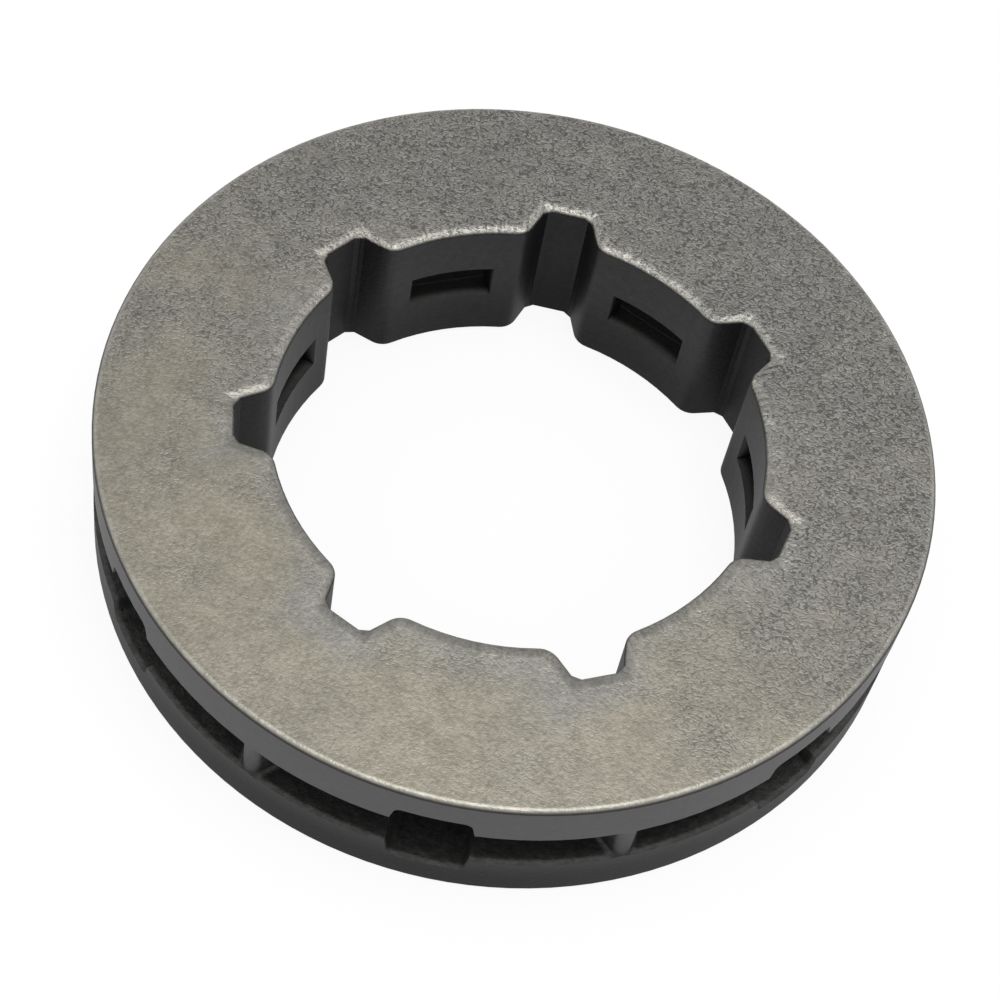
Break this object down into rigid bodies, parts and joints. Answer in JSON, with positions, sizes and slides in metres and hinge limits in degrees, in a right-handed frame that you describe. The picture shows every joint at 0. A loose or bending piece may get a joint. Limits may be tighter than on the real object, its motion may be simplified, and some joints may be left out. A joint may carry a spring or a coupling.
{
  "type": "rim sprocket",
  "caption": "Flat ring sprocket: two flanges with a toothed chain groove between them, and a splined bore that slides on a clutch drum's hub.",
  "frame": {"origin": "centre of the lower face, on the axis of rotation", "axes": "+Z along the axis of rotation, from the lower face to the upper; +X through the middle of one keyway and the tooth outside it"},
  "size_m": [0.0374, 0.0374, 0.0074],
  "materials": {
    "cast_steel": "bare cast steel, heat treated and tumbled: fine matt grain on the faces, darker as-cast skin in the groove and bore"
  },
  "bodies": {
    "root": {"rim_sprocket": "cast_steel"}
  },
  "joints": []
}
